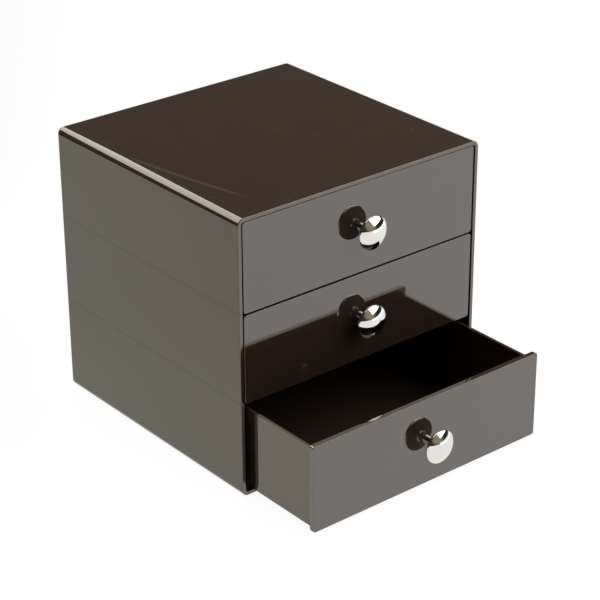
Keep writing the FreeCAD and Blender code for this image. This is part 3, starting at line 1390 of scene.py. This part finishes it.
@dataclass(frozen=True)
class Surroundings:
    """The studio's walls: pale low down, dark above, with a few paler patches.

    Angles are in degrees. Round front_azimuth, from the first of front_cosines to the second,
    the dark comes down nearly to the floor. The front walls turn to the back ones over
    walls_turn, in Y of the direction.
    """

    horizon_glow: float = 1.0
    horizon_top: float = 9.0
    horizon_edge: float = 4.0
    front_azimuth: float = 216.0
    front_cosines: Span = (-0.55, -0.49)
    front_horizon_top: float = -0.8
    front_horizon_edge: float = 0.8
    walls_front: Colour = (0.021, 0.027, 0.024)
    walls_back: Colour = (0.154, 0.117, 0.094)
    walls_turn: Span = (-0.3, 0.6)
    overhead_glow: float = 0.9
    overhead_start: float = 60.0
    overhead_edge: float = 0.06
    patches: tuple[Patch, ...] = (
        Patch(172.0, 24.0, 10.0, 25.0, (0.29, 0.26, 0.17)),
        Patch(208.0, 20.0, 28.0, 12.0, (0.038, 0.031, 0.020)),
    )

    def build(self) -> None:
        """Builds the world."""
        world = bpy.data.worlds.new("studio")
        bpy.context.scene.world = world
        world.use_nodes = True
        graph = Graph(world.node_tree)
        toward = graph.coordinates("Generated")
        axes = graph.axes(toward)
        behind = graph.smooth_step(axes["Y"], *self.walls_turn)
        walls = graph.blend(behind, self.walls_front, self.walls_back)
        across = self._toward(graph, toward, self.front_azimuth, 0.0)
        in_front = graph.smooth_step(across, *self.front_cosines)
        ends = {
            "A": self._below(graph, axes["Z"], self.horizon_top, self.horizon_edge),
            "B": self._below(graph, axes["Z"], self.front_horizon_top, self.front_horizon_edge),
        }
        pale = graph.node("ShaderNodeMix", {"Factor": in_front, **ends}).outputs["Result"]
        start = math.sin(math.radians(self.overhead_start))
        overhead = graph.smooth_step(axes["Z"], start, start + self.overhead_edge)
        glow = graph.math(
            "ADD",
            graph.math("MULTIPLY", pale, self.horizon_glow),
            graph.math("MULTIPLY", overhead, self.overhead_glow),
        )
        colour = graph.vector_math("ADD", walls, glow)["Vector"]
        for patch in self.patches:
            colour = self._with_patch(graph, toward, colour, patch)
        background = graph.node("ShaderNodeBackground", {"Color": colour})
        graph.node("ShaderNodeOutputWorld", {"Surface": background.outputs["Background"]})

    @staticmethod
    def _toward(graph: Graph, toward: Socket, azimuth: float, elevation: float) -> Socket:
        """Cosine of the angle between the seen direction and a fixed one.

        Args:
            graph: the world's graph.
            toward: the seen direction.
            azimuth: azimuth of the fixed direction, in degrees.
            elevation: its elevation, in degrees.

        Returns:
            The cosine's socket.
        """
        return graph.vector_math("DOT_PRODUCT", toward, heading(azimuth, elevation))["Value"]

    @staticmethod
    def _below(graph: Graph, height: Socket, elevation: float, edge: float) -> Socket:
        """Is 1 below an elevation and falls to 0 over a soft edge above it.

        Args:
            graph: the world's graph.
            height: height of the seen direction.
            elevation: where the fall starts, in degrees.
            edge: how many degrees it takes.

        Returns:
            The result's socket.
        """
        start = math.sin(math.radians(elevation))
        end = math.sin(math.radians(elevation + edge))
        return graph.flipped(graph.smooth_step(height, start, end))

    def _with_patch(self, graph: Graph, toward: Socket, under: Socket, patch: Patch) -> Socket:
        """Adds the light of one patch.

        Args:
            graph: the world's graph.
            toward: the seen direction.
            under: the colour without the patch.
            patch: the patch.

        Returns:
            The colour with the patch.
        """
        rim = math.cos(math.radians(patch.radius + patch.edge))
        core = math.cos(math.radians(patch.radius))
        cosine = self._toward(graph, toward, patch.azimuth, patch.elevation)
        light = graph.node(
            "ShaderNodeVectorMath",
            {0: patch.colour, "Scale": graph.smooth_step(cosine, rim, core)},
            operation="SCALE",
        )
        return graph.vector_math("MAXIMUM", under, light.outputs["Vector"])["Vector"]


@dataclass(frozen=True)
class Camera:
    """Where the camera stands and how it looks at the object."""

    place: tuple[float, float, float] = (-0.64826, -0.82180, 0.58061)
    azimuth: float = 39.26
    elevation: float = -26.47
    roll: float = -0.28
    lens: float = 123.7
    farthest: float = 100.0

    def stand(self) -> None:
        """Makes the camera."""
        forward = heading(self.azimuth, self.elevation)
        level_right = forward.cross(Vector((0, 0, 1))).normalized()
        right = Matrix.Rotation(-math.radians(self.roll), 3, forward) @ level_right
        up = right.cross(forward)
        data = bpy.data.cameras.new("camera")
        data.lens = self.lens
        data.clip_end = self.farthest
        camera = bpy.data.objects.new("camera", data)
        turn = Matrix((right, up, -forward)).transposed().to_4x4()
        camera.matrix_world = Matrix.Translation(self.place) @ turn
        bpy.context.scene.collection.objects.link(camera)
        bpy.context.scene.camera = camera


@dataclass(frozen=True)
class Studio:
    """Everything round the object: camera, floor, walls and lamps."""

    floor_height: float
    lamps: tuple[Softbox, ...] = (
        Softbox(
            "back_softbox",
            azimuth=0.0,
            elevation=0.0,
            distance=0.40,
            width=0.76,
            height=0.29,
            radiance=3.9,
            colour=(0.97, 0.98, 1.0),
            target=(-0.22, 0.0, 0.508),
        ),
        Softbox(
            "front_softbox",
            azimuth=137.0,
            elevation=37.0,
            distance=0.95,
            width=0.90,
            height=0.68,
            radiance=3.2,
        ),
        Softbox(
            "front_card",
            azimuth=132.0,
            elevation=0.0,
            distance=0.80,
            width=1.2,
            height=0.12,
            radiance=0.9,
            target=(0.0, -0.08, 0.06),
        ),
    )

    def build(self) -> None:
        """Builds everything round the object."""
        Camera().stand()
        Floor(self.floor_height).lay()
        Surroundings().build()
        for lamp in self.lamps:
            lamp.hang()
        bpy.context.scene.view_settings.view_transform = "Standard"


def main() -> None:
    """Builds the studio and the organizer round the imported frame."""
    logging.basicConfig(level=logging.INFO, format="%(message)s")
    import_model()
    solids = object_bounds()
    Studio(floor_height=solids[0].z).build()
    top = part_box("casing_shell")[1].z
    runner_heights = tuple(Runner.under(level).shelf for level in (Level.MIDDLE, Level.TOP))
    palette = Palette.mixed(top, runner_heights)
    Casing(palette).build()
    for level in Level:
        Drawer(level, palette).build()


if __name__ == "__main__":
    main()
